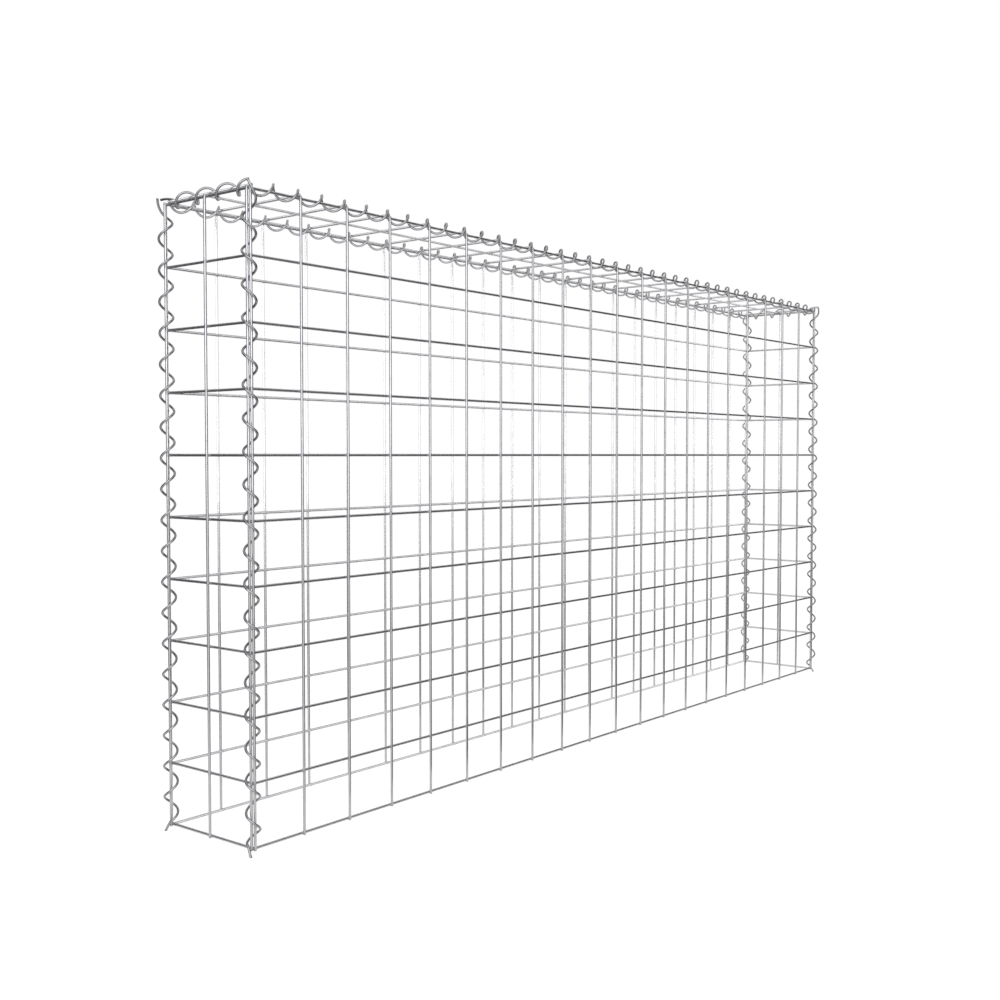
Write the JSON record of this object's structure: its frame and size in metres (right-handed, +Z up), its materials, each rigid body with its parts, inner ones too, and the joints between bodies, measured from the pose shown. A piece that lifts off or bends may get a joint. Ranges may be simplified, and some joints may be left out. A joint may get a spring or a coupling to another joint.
{
  "type": "gabion basket",
  "caption": "Tall narrow empty gabion basket of welded square wire mesh, with a laced lid and an open bottom, its panels joined along the edges by wire spirals.",
  "frame": {"origin": "on the floor, under the middle of the basket's footprint", "axes": "+X along the length, +Y from the front to the back, +Z up"},
  "size_m": [2.0292, 0.2333, 1.0246],
  "materials": {
    "mesh_wire": "bright galvanised drawn wire, spot welded at the crossings",
    "spiral_wire": "galvanised drawn wire, coiled"
  },
  "bodies": {
    "root": {"front_panel": "mesh_wire", "back_panel": "mesh_wire", "left_end_panel": "mesh_wire", "right_end_panel": "mesh_wire", "lid_panel": "mesh_wire", "front_left_spiral": "spiral_wire", "back_left_spiral": "spiral_wire", "front_right_spiral": "spiral_wire", "back_right_spiral": "spiral_wire", "front_top_spiral": "spiral_wire", "back_top_spiral": "spiral_wire", "left_top_spiral": "spiral_wire", "right_top_spiral": "spiral_wire"}
  },
  "joints": []
}
